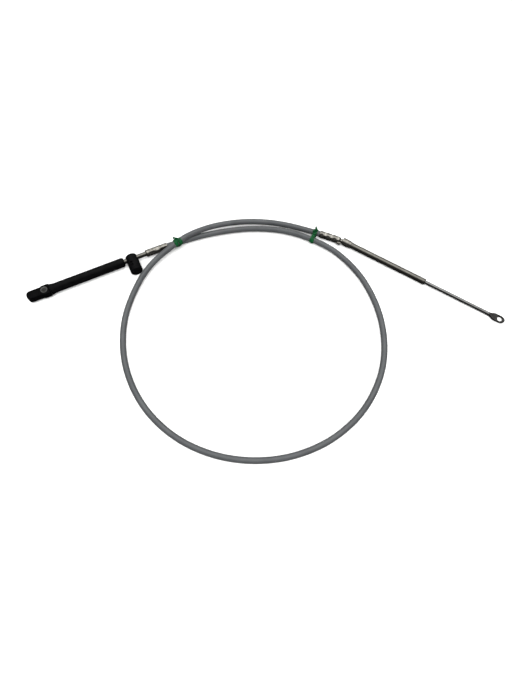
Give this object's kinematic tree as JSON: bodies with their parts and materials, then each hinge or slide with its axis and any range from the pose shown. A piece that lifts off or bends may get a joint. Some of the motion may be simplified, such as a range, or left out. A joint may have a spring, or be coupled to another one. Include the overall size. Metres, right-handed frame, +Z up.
{
  "type": "throttle and shift control cable",
  "caption": "Coiled push-pull boat control cable: grey jacket, steel tube and rod with an eye at one end, black sleeve with a bushed paddle and an anchor barrel at the other.",
  "frame": {"origin": "middle of the footprint, on the floor the cable lies on", "axes": "+X from the black paddle end towards the eye end, +Y towards the tied side of the coil, +Z up"},
  "size_m": [0.6138, 0.3374, 0.0204],
  "materials": {
    "jacket": "satin grey plastic",
    "steel": "bright drawn stainless steel",
    "black_plastic": "satin black moulding",
    "bushing": "dull metal",
    "tie": "green plastic"
  },
  "bodies": {
    "conduit": {"jacket": "jacket", "ferrule_engine_end": "steel", "guide_tube": "steel", "hub_control_end": "steel", "tie_engine_end": "tie", "tie_control_end": "tie"},
    "terminal": {"guide_sleeve": "black_plastic", "terminal_paddle": "black_plastic", "terminal_bushing": "bushing"},
    "barrel": {"anchor_barrel": "black_plastic"},
    "tube": {"swivel_cap": "steel", "support_tube": "steel"},
    "rod": {"control_rod": "steel"}
  },
  "joints": [
    {"name": "terminal_slide", "type": "slide", "parent": "conduit", "child": "terminal", "axis": [-0.9078, -0.4194, 0], "range_m": [0, 0.076]},
    {"name": "barrel_turn", "type": "hinge", "parent": "conduit", "child": "barrel", "pos_m": [-0.17711, 0.10229, 0.00804], "axis": [-0.9078, -0.4194, 0], "continuous": true},
    {"name": "tube_swivel", "type": "hinge", "parent": "conduit", "child": "tube", "pos_m": [0.11097, 0.13106, 0.00539], "axis": [0, 0, 1], "range_deg": [0, 18.7]},
    {"name": "rod_slide", "type": "slide", "parent": "tube", "child": "rod", "axis": [0.8526, -0.5225, -0.0105], "range_m": [-0.076, 0]}
  ],
  "couplings": [
    {"joint": "terminal_slide", "follows": "rod_slide", "ratio": -1}
  ]
}
